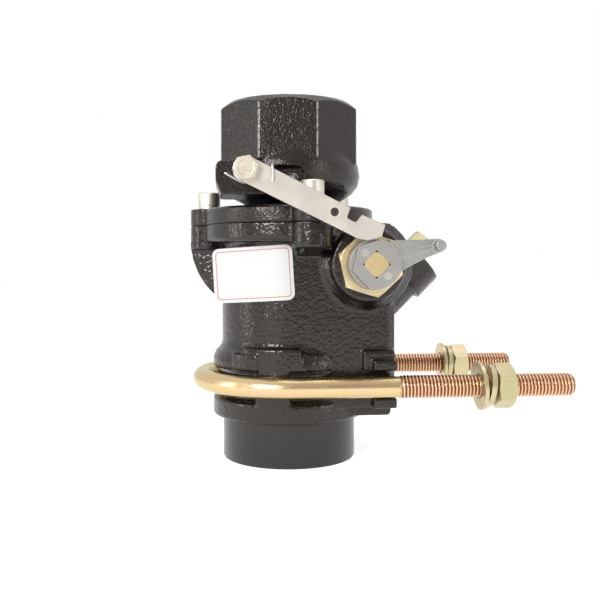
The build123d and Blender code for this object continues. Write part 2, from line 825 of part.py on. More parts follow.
def test_plug():
    """Hexagon plug in the test boss."""
    head_foot = test_washer_thickness
    shank = Cylinder(test_plug_radius, head_foot + test_plug_shank)
    shank = Pos(0, 0, (head_foot - test_plug_shank) / 2) * shank
    head = Plane.XY.offset(head_foot) * hexagon(test_plug_head_width)
    head = extrude(head, amount=test_plug_head_height)
    corner = test_plug_head_width / sqrt(3)
    rounded = Cylinder(corner + corner_margin, 2 * (head_foot + test_plug_head_height))
    rounded = chamfer(rounded.edges().group_by(Axis.Z)[-1], hexagon_corner)
    return test_plane * (shank + (head & rounded))


def test_plug_washer():
    """Sealing washer under the plug's head."""
    ring = Circle(test_washer_radius) - Circle(test_plug_radius + thread_gap)
    return test_plane * extrude(ring, amount=test_washer_thickness)


def link_point(along, across):
    """A point in X and Z from its place along and across the link."""
    slope = radians(link_slope)
    x = along * cos(slope) - across * sin(slope)
    z = along * sin(slope) + across * cos(slope)
    return pivot_x + x, pivot_z + z


def link_plate():
    """Flat latch link with its round end, catch notch and small hole."""
    w = link_half_width
    outline = Polyline(
        (0, w),
        (notch_near, w - link_taper),
        (notch_near + notch_slope[0], notch_floor),
        (notch_far - notch_slope[0], notch_floor),
        (notch_far + notch_slope[1], w - 2 * link_taper),
        *[(link_length - back, up) for back, up in link_end],
        (link_length - link_end_taper, -w),
        (0, -w),
        close=True,
    )
    plate = make_face(outline) + Circle(w)
    floor_corners = plate.vertices().filter_by(lambda v: abs(v.Y - notch_floor) < 0.01)
    plate = fillet(floor_corners, notch_corner)
    plate -= Circle(link_bolt_radius + running_fit)
    plate -= Pos(*link_hole_place) * Circle(link_hole_radius)
    return slab(Pos(pivot_x, pivot_z) * Rot(0, 0, link_slope) * plate, link_back, link_back + link_thickness)


def link_bolt():
    """Hex-head bolt that the link turns on."""
    under_head = link_back + link_thickness + seat_gap
    top = under_head + link_bolt_head_height
    outline = Pos(pivot_x, pivot_z) * Rot(0, 0, link_bolt_turn) * hexagon(link_bolt_head_width)
    head = slab(outline, under_head, top)
    head -= y_cylinder(pivot_x, pivot_z, link_bolt_dish_radius, top - link_bolt_dish_depth, top)
    return head + y_cylinder(pivot_x, pivot_z, link_bolt_radius, lug_front - link_bolt_thread, under_head)


def link_spacer():
    """Sleeve that keeps the link off the lug, inside the spring."""
    inner = link_bolt_radius + running_fit
    return y_ring(pivot_x, pivot_z, link_spacer_radius, inner, lug_front, link_back - seat_gap)


def link_spring():
    """Torsion spring: one leg hooked in the lug, the other over the link."""
    r = spring_wire / 2
    hole = (spring_hole_x, spring_hole_z)
    hook = link_point(spring_hook_along, link_half_width + r + hook_gap)
    first, turns = coil_angles(pivot_x, pivot_z, spring_coil_radius, spring_turns, hole, hook)
    back = lug_front + r + swing_gap
    front = back + spring_pitch * turns
    over = link_back + link_thickness + r + hook_gap
    lug_leg = [(hole[0], -back, hole[1]), (hole[0], spring_leg_depth - lug_front, hole[1])]
    link_leg = [
        (hook[0], -front, hook[1]),
        (hook[0], -over, hook[1]),
        (hook[0] + spring_hook_lean, -over, hook[1] - spring_hook_length),
    ]
    return torsion_spring(
        pivot_x, pivot_z, back, spring_coil_radius, spring_pitch, first, turns, r, lug_leg, link_leg)


def ubolt():
    """Round bar bent round the body, with larger threaded legs."""
    r = ubolt_bend_radius
    start = ubolt_thread_start
    path = Line((start, -r), (0, -r)) + ThreePointArc((0, -r), (-r, 0), (0, r)) + Line((0, r), (start, r))
    bar = sweep(Plane(origin=(start, -r, 0), z_dir=(-1, 0, 0)) * Circle(ubolt_shank_radius), path=path)
    for side in (-1, 1):
        leg = Plane(origin=(start, side * r, 0), z_dir=(1, 0, 0)) * Circle(ubolt_thread_radius)
        leg = extrude(leg, amount=ubolt_end - start)
        bar += chamfer(leg.edges().filter_by(GeomType.CIRCLE), edge_break)
    return Pos(0, 0, ubolt_z) * bar


def ubolt_nuts():
    """Two M10 nuts, both ends turned off at an angle."""
    nuts = []
    corner = ubolt_nut_width / sqrt(3)
    face_radius = ubolt_nut_width / 2 - ubolt_nut_face_inset
    depth = (corner - face_radius) * tan(radians(ubolt_nut_chamfer_angle))
    barrel = turned([
        (0, 0),
        (face_radius, 0),
        (corner, depth),
        (corner, ubolt_nut_thickness - depth),
        (face_radius, ubolt_nut_thickness),
        (0, ubolt_nut_thickness),
    ])
    hole = z_cylinder(ubolt_thread_radius + press_gap, -1, ubolt_nut_thickness + 1)
    for side, face, turn in zip((-1, 1), ubolt_nut_faces, ubolt_nut_turns):
        plane = Plane(origin=(face, side * ubolt_bend_radius, ubolt_z), x_dir=(0, 1, 0), z_dir=(1, 0, 0))
        nut = extrude(Rot(0, 0, turn) * hexagon(ubolt_nut_width), amount=ubolt_nut_thickness)
        nuts.append(plane * ((nut & barrel) - hole))
    return Compound(children=nuts)


def ubolt_lock_washers():
    """A spring washer leaning against each nut."""
    washers = []
    inner = ubolt_thread_radius + ubolt_flat_washer_play
    for side, middle, tilt in zip((-1, 1), lock_washer_middles, ubolt_lock_washer_tilts):
        lean = Pos(middle, side * ubolt_bend_radius, ubolt_z) * Rot(0, tilt, 0)
        back = Plane(origin=(-ubolt_lock_washer_thickness / 2, 0, 0), x_dir=(0, 0, 1), z_dir=(1, 0, 0))
        washers.append(lean * split_washer(back, ubolt_lock_washer_radius, inner, ubolt_lock_washer_thickness))
    return Compound(children=washers)


def ubolt_flat_washers():
    """A flat washer hanging a little askew on each leg."""
    washers = []
    places = zip((-1, 1), lock_washer_middles, lock_washer_leans, ubolt_washer_tilts)
    for side, next_middle, next_lean, tilt in places:
        lean = ubolt_flat_washer_radius * sin(radians(tilt))
        room = (ubolt_lock_washer_thickness + ubolt_flat_washer_thickness) / 2 + seat_gap
        middle = next_middle - next_lean - lean - room
        ring = Cylinder(ubolt_flat_washer_radius, ubolt_flat_washer_thickness)
        ring -= Cylinder(ubolt_thread_radius + ubolt_flat_washer_play, 2 * ubolt_flat_washer_thickness)
        washers.append(Pos(middle, side * ubolt_bend_radius, ubolt_z) * Rot(0, 90 - tilt, 0) * ring)
    return Compound(children=washers)


def label():
    """Blank sticker that leaves the barrel at its left and stands free there."""
    middle = body_radius + thread_gap + label_thickness / 2
    first = on_circle(middle, label_first_angle)
    halfway = on_circle(middle, (label_first_angle + label_leave_angle) / 2)
    leave = on_circle(middle, label_leave_angle)
    heading = on_circle(label_free_length, label_leave_angle - 90)
    end = (leave[0] + heading[0], leave[1] + heading[1])
    path = ThreePointArc(first, halfway, leave) + Line(leave, end)
    strip = Plane(origin=(*first, label_middle), x_dir=(0, 1, 0), z_dir=(-1, 0, 0))
    sheet = sweep(strip * Rectangle(label_thickness, 2 * label_height), path=path)
    facing = (*on_circle(1, label_reading_angle), 0)
    across = on_circle(1, label_reading_angle + 90)
    origin = (across[0] * label_shift, across[1] * label_shift, label_middle)
    frame = Plane(origin=origin, x_dir=(*across, 0), z_dir=facing)
    outline = Rot(0, 0, label_tilt) * RectangleRounded(label_width, label_height, label_corner)
    return sheet & extrude(frame * outline, amount=2 * body_radius)


parts = {
    "lower_body": lower_body,
    "upper_body": upper_body,
    "seat_ring": seat_ring,
    "flange_seal": flange_seal,
    "flange_screws": flange_screws,
    "flange_lock_washers": flange_lock_washers,
    "packing_nut": packing_nut,
    "packing_follower": packing_follower,
    "stem_packing": stem_packing,
    "stem_bush": stem_bush,
    "test_plug": test_plug,
    "test_plug_washer": test_plug_washer,
    "label": label,
    "link_bolt": link_bolt,
    "link_spacer": link_spacer,
    "link_spring": link_spring,
    "ubolt": ubolt,
    "ubolt_flat_washers": ubolt_flat_washers,
    "ubolt_lock_washers": ubolt_lock_washers,
    "ubolt_nuts": ubolt_nuts,
    "stem": stem,
    "lever": lever,
    "hub_plate": hub_plate,
    "fusible_plugs": fusible_plugs,
    "flapper_arm": flapper_arm,
    "arm_pin": arm_pin,
    "flapper_disc": flapper_disc,
    "flapper_seal": flapper_seal,
    "seal_plate": seal_plate,
    "flapper_nut": flapper_nut,
    "closing_spring": closing_spring,
    "link_plate": link_plate,
}

os.makedirs("parts", exist_ok=True)
for name, make in parts.items():
    export_step(make(), "parts/" + name + ".step")
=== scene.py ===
import math
import bmesh
import bpy
import numpy as np
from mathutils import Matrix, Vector, noise


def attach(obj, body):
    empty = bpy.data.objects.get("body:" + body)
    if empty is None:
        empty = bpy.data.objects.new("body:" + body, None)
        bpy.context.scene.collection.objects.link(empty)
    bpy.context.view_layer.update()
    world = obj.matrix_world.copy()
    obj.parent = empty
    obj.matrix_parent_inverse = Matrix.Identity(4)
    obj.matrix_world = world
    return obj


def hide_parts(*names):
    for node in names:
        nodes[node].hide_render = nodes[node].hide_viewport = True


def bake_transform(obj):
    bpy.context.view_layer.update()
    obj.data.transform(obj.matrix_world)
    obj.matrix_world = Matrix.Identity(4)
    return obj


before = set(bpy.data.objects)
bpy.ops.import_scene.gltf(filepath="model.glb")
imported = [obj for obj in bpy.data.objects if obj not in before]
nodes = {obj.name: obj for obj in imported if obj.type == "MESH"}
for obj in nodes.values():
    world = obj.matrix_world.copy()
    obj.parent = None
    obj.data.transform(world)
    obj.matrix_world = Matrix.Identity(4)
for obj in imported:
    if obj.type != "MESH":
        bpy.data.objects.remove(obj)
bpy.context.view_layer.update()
mm = 0.001
print("frame loaded:", len(nodes), "CAD nodes")


# Mesh helpers

def newObject(name, mesh):
    piece = bpy.data.objects.new(name, mesh)
    bpy.context.scene.collection.objects.link(piece)
    return piece


def meshFrom(name, points, faces):  # points in millimetres
    mesh = bpy.data.meshes.new(name)
    mesh.from_pydata([tuple(c * mm for c in p) for p in points], [], faces)
    mesh.validate()
    mesh.update()
    return mesh


def dress(piece, *materials):
    piece.data.materials.clear()
    for material in materials:
        piece.data.materials.append(material)


def smoothShade(piece, angle=None):
    piece.data.shade_smooth()
    if angle is not None:
        piece.data.set_sharp_from_angle(angle=math.radians(angle))


def applyModifiers(piece):
    graph = bpy.context.evaluated_depsgraph_get()
    mesh = bpy.data.meshes.new_from_object(piece.evaluated_get(graph))
    piece.modifiers.clear()
    old = piece.data
    piece.data = mesh
    bpy.data.meshes.remove(old)


def ringFaces(rows, count, wrapRows=False):
    faces = []
    for row in range(rows if wrapRows else rows - 1):
        below = ((row + 1) % rows) * count
        for k in range(count):
            after = (k + 1) % count
            faces.append((row * count + k, row * count + after, below + after, below + k))
    return faces


def facesOutward(piece):
    work = bmesh.new()
    work.from_mesh(piece.data)
    bmesh.ops.remove_doubles(work, verts=work.verts, dist=1e-6)
    bmesh.ops.recalc_face_normals(work, faces=work.faces)
    work.to_mesh(piece.data)
    work.free()


def wire(name, points, radius, sides=10):  # points in millimetres, round wire with closed ends
    curve = bpy.data.curves.new(name, "CURVE")
    curve.dimensions = "3D"
    curve.bevel_depth = radius * mm
    curve.bevel_resolution = sides // 2
    curve.use_fill_caps = True
    spline = curve.splines.new("POLY")
    spline.points.add(len(points) - 1)
    for place, point in zip(spline.points, points):
        place.co = (*(c * mm for c in point), 1)
    holder = newObject(name + "Path", curve)
    graph = bpy.context.evaluated_depsgraph_get()
    mesh = bpy.data.meshes.new_from_object(holder.evaluated_get(graph))
    bpy.data.objects.remove(holder)
    bpy.data.curves.remove(curve)
    piece = newObject(name, mesh)
    facesOutward(piece)
    smoothShade(piece, 50)
    return piece


# Shader helpers

def place(tree, kind, feeds=None, **settings):
    node = tree.nodes.new(kind)
    for key, value in settings.items():
        setattr(node, key, value)
    for key, value in (feeds or {}).items():
        socket = node.inputs[key]
        if isinstance(value, bpy.types.NodeSocket):
            tree.links.new(value, socket)
        else:
            socket.default_value = value
    return node


def maths(tree, operation, *values, clamp=False):
    node = place(tree, "ShaderNodeMath", dict(enumerate(values)), operation=operation, use_clamp=clamp)
    return node.outputs[0]


def ramp(tree, value, stops):
    node = place(tree, "ShaderNodeValToRGB", {"Fac": value})
    elements = node.color_ramp.elements
    while len(elements) < len(stops):
        elements.new(0.5)
    for element, (position, colour) in zip(elements, stops):
        element.position = position
        element.color = (*colour, 1)
    return node.outputs["Color"]


def blendColours(tree, share, first, second):
    node = place(tree, "ShaderNodeMix", data_type="RGBA")
    for index, value in ((0, share), (6, first), (7, second)):
        if isinstance(value, bpy.types.NodeSocket):
            tree.links.new(value, node.inputs[index])
        else:
            node.inputs[index].default_value = value if index == 0 else (*value, 1)
    return node.outputs[2]


def newGroup(name, takes, gives):
    group = bpy.data.node_groups.new(name, "ShaderNodeTree")
    for label, kind, value in takes:
        socket = group.interface.new_socket(label, in_out="INPUT", socket_type=kind)
        socket.default_value = value
    for label, kind in gives:
        group.interface.new_socket(label, in_out="OUTPUT", socket_type=kind)
    return group, group.nodes.new("NodeGroupInput").outputs, group.nodes.new("NodeGroupOutput").inputs


def makeCastGrain():  # sand-cast surface under paint: fine grain over soft lumps
    group, take, give = newGroup(
        "castGrain",
        [("Grain scale", "NodeSocketFloat", 1500.0), ("Lump scale", "NodeSocketFloat", 600.0),
         ("Lump share", "NodeSocketFloat", 0.5)],
        [("Height", "NodeSocketFloat"), ("Mottle", "NodeSocketFloat"), ("Specks", "NodeSocketFloat")])
    spot = place(group, "ShaderNodeTexCoord").outputs["Object"]
    fine = place(group, "ShaderNodeTexNoise", {"Vector": spot, "Scale": take[0], "Detail": 1.0, "Roughness": 0.4})
    lumps = place(group, "ShaderNodeTexVoronoi", {"Vector": spot, "Scale": take[1], "Smoothness": 0.9},
                  feature="SMOOTH_F1")
    rise = maths(group, "SUBTRACT", 1.0, lumps.outputs["Distance"])
    mixed = place(group, "ShaderNodeMix", {0: take[2], 2: fine.outputs["Fac"], 3: rise}, data_type="FLOAT")
    mottle = place(group, "ShaderNodeTexNoise", {"Vector": spot, "Scale": 55.0, "Detail": 4.0, "Roughness": 0.65})
    specks = place(group, "ShaderNodeTexNoise", {"Vector": spot, "Scale": 2600.0, "Detail": 1.0})
    group.links.new(mixed.outputs[0], give[0])
    group.links.new(mottle.outputs["Fac"], give[1])
    group.links.new(maths(group, "MULTIPLY", maths(group, "SUBTRACT", specks.outputs["Fac"], 0.66), 14.0,
                          clamp=True), give[2])
    return group


def makeEdgeWearAndHighlight():  # bright mask on convex edges, partly worn metal and partly a painted highlight where edges catch the light, broken up, and a softened normal
    group, take, give = newGroup(
        "edgeWearAndHighlight",
        [("Radius", "NodeSocketFloat", 0.0004), ("Strength", "NodeSocketFloat", 6.0)],
        [("Mask", "NodeSocketFloat"), ("Normal", "NodeSocketVector")])
    soft = place(group, "ShaderNodeBevel", {"Radius": take[0]}, samples=6)
    flat = place(group, "ShaderNodeNewGeometry").outputs["Normal"]
    alike = place(group, "ShaderNodeVectorMath", {0: soft.outputs[0], 1: flat}, operation="DOT_PRODUCT")
    spot = place(group, "ShaderNodeTexCoord").outputs["Object"]
    broken = place(group, "ShaderNodeTexNoise", {"Vector": spot, "Scale": 420.0, "Detail": 3.0})
    edge = maths(group, "MULTIPLY", maths(group, "SUBTRACT", 1.0, alike.outputs["Value"]), take[1])
    mask = maths(group, "MULTIPLY", edge, maths(group, "MULTIPLY", broken.outputs["Fac"], 2.0), clamp=True)
    group.links.new(mask, give[0])
    group.links.new(soft.outputs[0], give[1])
    return group


def makeToolLines():  # fine lines left by turning, drawing or brushing, along the short axis of the stretch
    group, take, give = newGroup(
        "toolLines", [("Stretch", "NodeSocketVector", (20.0, 20.0, 2600.0))],
        [("Height", "NodeSocketFloat"), ("Smear", "NodeSocketFloat")])
    spot = place(group, "ShaderNodeTexCoord").outputs["Object"]
    pulled = place(group, "ShaderNodeVectorMath", {0: spot, 1: take[0]}, operation="MULTIPLY")
    lines = place(group, "ShaderNodeTexNoise", {"Vector": pulled.outputs[0], "Scale": 1.0, "Detail": 4.0,
                                                "Roughness": 0.65})
    smear = place(group, "ShaderNodeTexNoise", {"Vector": spot, "Scale": 110.0, "Detail": 3.0})
    group.links.new(lines.outputs["Fac"], give[0])
    group.links.new(smear.outputs["Fac"], give[1])
    return group


def makeChromateBloom():  # yellow zinc: two colours drift into each other, with a fine haze
    group, take, give = newGroup(
        "chromateBloom",
        [("Drift scale", "NodeSocketFloat", 45.0), ("First", "NodeSocketColor", (0.7, 0.5, 0.3, 1)),
         ("Second", "NodeSocketColor", (0.7, 0.6, 0.4, 1))],
        [("Color", "NodeSocketColor"), ("Haze", "NodeSocketFloat")])
    spot = place(group, "ShaderNodeTexCoord").outputs["Object"]
    drift = place(group, "ShaderNodeTexNoise", {"Vector": spot, "Scale": take[0], "Detail": 2.5,
                                                "Distortion": 0.8})
    share = place(group, "ShaderNodeMapRange", {"Value": drift.outputs["Fac"], "From Min": 0.36, "From Max": 0.64})
    blend = place(group, "ShaderNodeMix", {0: share.outputs[0], 6: take[1], 7: take[2]}, data_type="RGBA")
    haze = place(group, "ShaderNodeTexNoise", {"Vector": spot, "Scale": 300.0, "Detail": 4.0})
    group.links.new(blend.outputs[2], give[0])
    group.links.new(haze.outputs["Fac"], give[1])
    return group


def makeCornerHighlights():  # painted highlight: bright lines down the corners of the octagon, where the rounded edges catch the light
    group, take, give = newGroup(
        "cornerHighlights", [("Turn", "NodeSocketFloat", 0.0), ("Width", "NodeSocketFloat", 0.0005)],
        [("Mask", "NodeSocketFloat")])
    spot = place(group, "ShaderNodeTexCoord").outputs["Object"]
    x, y, z = place(group, "ShaderNodeSeparateXYZ", {0: spot}).outputs
    angle = maths(group, "SUBTRACT", maths(group, "ARCTAN2", y, x), take[0])
    eighth = math.pi / 4
    fromFlat = maths(group, "ABSOLUTE", maths(group, "WRAP", angle, eighth / 2, -eighth / 2))
    radius = maths(group, "SQRT", maths(group, "ADD", maths(group, "MULTIPLY", x, x), maths(group, "MULTIPLY", y, y)))
    offCorner = maths(group, "MULTIPLY", radius, maths(group, "SUBTRACT", eighth / 2, fromFlat))
    line = place(group, "ShaderNodeMapRange", {"Value": maths(group, "DIVIDE", offCorner, take[1]), "From Min": 0.35,
                                               "From Max": 1.0, "To Min": 1.0, "To Max": 0.0}).outputs[0]
    broken = place(group, "ShaderNodeTexNoise", {"Vector": spot, "Scale": 900.0, "Detail": 2.0})
    broken = place(group, "ShaderNodeMapRange", {"Value": broken.outputs["Fac"], "From Min": 0.32, "From Max": 0.52})
    inHeight = maths(group, "MULTIPLY", maths(group, "GREATER_THAN", z, 0.1355), maths(group, "LESS_THAN", z, 0.1592))
    inHeight = maths(group, "MULTIPLY", inHeight, maths(group, "GREATER_THAN", radius, 0.0318))
    mask = maths(group, "MULTIPLY", maths(group, "MULTIPLY", line, broken.outputs[0]), inHeight)
    group.links.new(mask, give[0])
    return group


castGrain = makeCastGrain()
cornerHighlights = makeCornerHighlights()
edgeWearAndHighlight = makeEdgeWearAndHighlight()
toolLines = makeToolLines()
chromateBloom = makeChromateBloom()


def fillGroup(tree, group, feeds):
    node = tree.nodes.new("ShaderNodeGroup")
    node.node_tree = group
    for key, value in feeds.items():
        if isinstance(value, bpy.types.NodeSocket):
            tree.links.new(value, node.inputs[key])
        else:
            node.inputs[key].default_value = value
    return node.outputs


def newMaterial(name):
    material = bpy.data.materials.new(name)
    material.use_nodes = True
    tree = material.node_tree
    return material, tree, tree.nodes["Principled BSDF"].inputs


def bump(tree, height, strength, distance, normal=None):
    feeds = {"Height": height, "Strength": strength, "Distance": distance}
    if normal is not None:
        feeds["Normal"] = normal
    return place(tree, "ShaderNodeBump", feeds).outputs[0]


def paintedCasting(name, look):
    material, tree, skin = newMaterial(name)
    grain = fillGroup(tree, castGrain, {"Grain scale": look["grain"], "Lump scale": look["lumps"],
                                        "Lump share": look["lumpShare"]})
    tint = blendColours(tree, grain["Mottle"], look["dark"], look["light"])
    # painted highlight: a pale line down each octagon corner, standing in for the edges catching the light
    if look["corners"]:
        corners = fillGroup(tree, cornerHighlights, {"Turn": math.radians(look["corners"]), "Width": 0.0006})
        tint = blendColours(tree, corners["Mask"], tint, (0.42, 0.38, 0.35))
    tree.links.new(tint, skin["Base Color"])
    rough = place(tree, "ShaderNodeMapRange", {"Value": grain["Mottle"], "To Min": look["rough"] - 0.07,
                                               "To Max": look["rough"] + 0.10})
    tree.links.new(rough.outputs[0], skin["Roughness"])
    tree.links.new(bump(tree, grain["Height"], look["bump"], look["depth"]), skin["Normal"])
    skin["Specular IOR Level"].default_value = look["specular"]
    skin["Specular Tint"].default_value = (*look["sheen"], 1)
    return material


def plainMetal(name, look):
    material, tree, skin = newMaterial(name)
    wearAndHighlight = fillGroup(tree, edgeWearAndHighlight, {"Radius": look.get("edge", 0.00025)})
    lines = fillGroup(tree, toolLines, {"Stretch": look["stretch"]})
    tint = blendColours(tree, lines["Smear"], look["dark"], look["light"])
    # lighter edges: partly worn metal, partly a painted highlight where the edges catch the light
    tint = blendColours(tree, maths(tree, "MULTIPLY", wearAndHighlight["Mask"], 0.5), tint, look["edgeColour"])
    tree.links.new(tint, skin["Base Color"])
    rough = place(tree, "ShaderNodeMapRange", {"Value": lines["Smear"], "To Min": look["rough"] - 0.06,
                                               "To Max": look["rough"] + 0.10})
    tree.links.new(rough.outputs[0], skin["Roughness"])
    tree.links.new(bump(tree, lines["Height"], look["bump"], 0.00006, wearAndHighlight["Normal"]), skin["Normal"])
    skin["Metallic"].default_value = look.get("metal", 1.0)
    return material


def yellowZinc(name, look):
    material, tree, skin = newMaterial(name)
    bloom = fillGroup(tree, chromateBloom, {"Drift scale": look["drift"], "First": (*look["first"], 1),
                                            "Second": (*look["second"], 1)})
    wearAndHighlight = fillGroup(tree, edgeWearAndHighlight, {"Radius": 0.0003})
    turned = place(tree, "ShaderNodeLayerWeight", {"Blend": 0.35}).outputs["Facing"]
    tint = blendColours(tree, maths(tree, "MULTIPLY", turned, look["rimShare"]), bloom["Color"], look["rim"])
    if look.get("legs"):
        # copper thread colour, with painted shade in the roots and a painted highlight on the crests
        tint = copperThreadShading(tree, tint, look["legs"])
    # lighter edges: partly worn zinc, partly a painted highlight where the edges catch the light
    tint = blendColours(tree, maths(tree, "MULTIPLY", wearAndHighlight["Mask"], 0.35), tint, (0.80, 0.74, 0.56))
    tree.links.new(tint, skin["Base Color"])
    rough = place(tree, "ShaderNodeMapRange", {"Value": bloom["Haze"], "To Min": look["rough"] - 0.05,
                                               "To Max": look["rough"] + 0.12})
    tree.links.new(rough.outputs[0], skin["Roughness"])
    tree.links.new(bump(tree, bloom["Haze"], 0.12, 0.00008, wearAndHighlight["Normal"]), skin["Normal"])
    skin["Metallic"].default_value = 1.0
    return material


def copperThreadShading(tree, bar, look):  # copper-coloured threads on the legs, darkened toward the roots as painted shade and lightened on the crests as painted highlight
    spot = place(tree, "ShaderNodeTexCoord").outputs["Object"]
    x, y, z = place(tree, "ShaderNodeSeparateXYZ", {0: spot}).outputs
    out = maths(tree, "SUBTRACT", maths(tree, "ABSOLUTE", y), look["spread"])
    up = maths(tree, "SUBTRACT", z, look["z"])
    radius = maths(tree, "SQRT", maths(tree, "ADD", maths(tree, "MULTIPLY", out, out), maths(tree, "MULTIPLY", up, up)))
    crest = place(tree, "ShaderNodeMapRange", {"Value": radius, "From Min": look["root"], "From Max": look["crest"]})
    thread = blendColours(tree, crest.outputs[0], look["rootColourShaded"], look["crestColourLit"])
    onLeg = place(tree, "ShaderNodeMapRange", {"Value": x, "From Min": look["from"], "From Max": look["from"] + 0.001})
    return blendColours(tree, onLeg.outputs[0], bar, thread)


def dullSolid(name, colour, rough, grainScale=1800.0):
    material, tree, skin = newMaterial(name)
    grain = fillGroup(tree, castGrain, {"Grain scale": grainScale, "Lump share": 0.1})
    darker = tuple(c * 0.82 for c in colour)
    tree.links.new(blendColours(tree, grain["Mottle"], darker, colour), skin["Base Color"])
    tree.links.new(bump(tree, grain["Height"], 0.2, 0.00005), skin["Normal"])
    skin["Roughness"].default_value = rough
    return material


blackPaint = paintedCasting("blackPaint", {
    "grain": 900.0, "lumps": 620.0, "lumpShare": 0.50, "dark": (0.0070, 0.0056, 0.0050),
    "light": (0.0130, 0.0104, 0.0090), "rough": 0.19, "bump": 1.0, "depth": 0.00030,
    "specular": 0.55, "sheen": (1.0, 0.93, 0.89), "corners": None})
blackPaintFine = paintedCasting("blackPaintFine", {
    "grain": 1150.0, "lumps": 900.0, "lumpShare": 0.25, "dark": (0.0080, 0.0062, 0.0054),
    "light": (0.0150, 0.0118, 0.0100), "rough": 0.24, "bump": 1.0, "depth": 0.00026,
    "specular": 0.5, "sheen": (1.0, 0.93, 0.89), "corners": -5.5})
turnedBlack = plainMetal("turnedBlack", {
    "stretch": (12.0, 12.0, 2400.0), "dark": (0.016, 0.0135, 0.0122), "light": (0.024, 0.0205, 0.0185),
    "edgeColour": (0.10, 0.09, 0.082), "rough": 0.25, "bump": 0.10, "metal": 0.0})
paleBrass = plainMetal("paleBrass", {
    "stretch": (260.0, 260.0, 260.0), "dark": (0.62, 0.49, 0.27), "light": (0.80, 0.68, 0.44),
    "edgeColour": (0.90, 0.80, 0.58), "rough": 0.34, "bump": 0.12})
stemBrass = plainMetal("stemBrass", {
    "stretch": (900.0, 60.0, 900.0), "dark": (0.55, 0.42, 0.20), "light": (0.74, 0.58, 0.32),
    "edgeColour": (0.88, 0.76, 0.5), "rough": 0.38, "bump": 0.25})
seatBrass = plainMetal("seatBrass", {
    "stretch": (20.0, 20.0, 2600.0), "dark": (0.58, 0.45, 0.24), "light": (0.74, 0.60, 0.34),
    "edgeColour": (0.88, 0.76, 0.5), "rough": 0.30, "bump": 0.12})
brightZinc = plainMetal("brightZinc", {
    "stretch": (500.0, 500.0, 40.0), "dark": (0.56, 0.51, 0.42), "light": (0.74, 0.71, 0.64),
    "edgeColour": (0.88, 0.86, 0.80), "rough": 0.46, "bump": 0.25})
plainSteel = plainMetal("plainSteel", {
    "stretch": (30.0, 2200.0, 30.0), "dark": (0.34, 0.34, 0.35), "light": (0.48, 0.48, 0.48),
    "edgeColour": (0.7, 0.7, 0.7), "rough": 0.36, "bump": 0.2})
springSteel = plainMetal("springSteel", {
    "stretch": (700.0, 700.0, 700.0), "dark": (0.42, 0.41, 0.40), "light": (0.60, 0.59, 0.57),
    "edgeColour": (0.7, 0.7, 0.7), "rough": 0.28, "bump": 0.08})
satinNickel = plainMetal("satinNickel", {
    "stretch": (90.0, 90.0, 2000.0), "dark": (0.64, 0.585, 0.515), "light": (0.76, 0.70, 0.62),
    "edgeColour": (0.90, 0.86, 0.80), "rough": 0.40, "bump": 0.08, "edge": 0.0004})
softAlloy = plainMetal("softAlloy", {
    "stretch": (900.0, 900.0, 900.0), "dark": (0.40, 0.38, 0.35), "light": (0.56, 0.54, 0.50),
    "edgeColour": (0.7, 0.68, 0.64), "rough": 0.48, "bump": 0.3})
softCopper = plainMetal("softCopper", {
    "stretch": (600.0, 600.0, 600.0), "dark": (0.55, 0.30, 0.18), "light": (0.75, 0.46, 0.32),
    "edgeColour": (0.86, 0.6, 0.46), "rough": 0.36, "bump": 0.1})
zincBolt = yellowZinc("zincBolt", {
    "drift": 34.0, "first": (0.76, 0.50, 0.33), "second": (0.70, 0.54, 0.28), "rim": (0.46, 0.42, 0.12),
    "rimShare": 0.85, "rough": 0.24,
    # thread colours: copper, darker in the roots as painted shade and paler on the crests as painted highlight
    "legs": {"spread": 0.040, "z": 0.0368, "root": 0.0042, "crest": 0.0050, "from": 0.0430,
             "rootColourShaded": (0.34, 0.155, 0.070), "crestColourLit": (0.80, 0.54, 0.36)}})
zincNut = yellowZinc("zincNut", {
    "drift": 60.0, "first": (0.52, 0.49, 0.27), "second": (0.66, 0.54, 0.36), "rim": (0.48, 0.36, 0.22),
    "rimShare": 0.4, "rough": 0.34})
zincHead = yellowZinc("zincHead", {
    "drift": 220.0, "first": (0.62, 0.57, 0.46), "second": (0.74, 0.68, 0.56), "rim": (0.5, 0.42, 0.3),
    "rimShare": 0.3, "rough": 0.40})
blackRubber = dullSolid("blackRubber", (0.018, 0.018, 0.018), 0.6)
whitePacking = dullSolid("whitePacking", (0.78, 0.77, 0.72), 0.55)
print("materials made")


def makeLeverGrey():  # grainy zinc die casting, lighter on its edges: partly wear, partly a painted highlight
    material, tree, skin = newMaterial("leverGrey")
    grain = fillGroup(tree, castGrain, {"Grain scale": 2600.0, "Lump scale": 1500.0, "Lump share": 0.25})
    wearAndHighlight = fillGroup(tree, edgeWearAndHighlight, {"Radius": 0.0005, "Strength": 3.0})
    tint = blendColours(tree, grain["Mottle"], (0.30, 0.29, 0.27), (0.44, 0.43, 0.41))
    tint = blendColours(tree, grain["Specks"], tint, (0.62, 0.61, 0.59))
    # lighter edges: partly worn, partly a painted highlight where the edges catch the light
    tint = blendColours(tree, maths(tree, "MULTIPLY", wearAndHighlight["Mask"], 0.6), tint, (0.66, 0.65, 0.63))
    tree.links.new(tint, skin["Base Color"])
    tree.links.new(bump(tree, grain["Height"], 0.5, 0.00014), skin["Normal"])
    skin["Metallic"].default_value = 0.85
    skin["Roughness"].default_value = 0.46
    return material


leverGrey = makeLeverGrey()


# The castings: the CAD shape with every corner softened as sand casting leaves it

castings = {
    "lower_body": {"name": "lowerCasting", "voxel": 0.0006, "smooth": 3, "cutBelow": 0.020, "lumps": 0.00006},
    "upper_body": {"name": "upperCasting", "voxel": 0.0005, "smooth": 2, "cutBelow": None, "lumps": 0.00005},
    "lever": {"name": "leverCasting", "voxel": 0.00028, "smooth": 3, "cutBelow": None, "lumps": 0.00002},
}


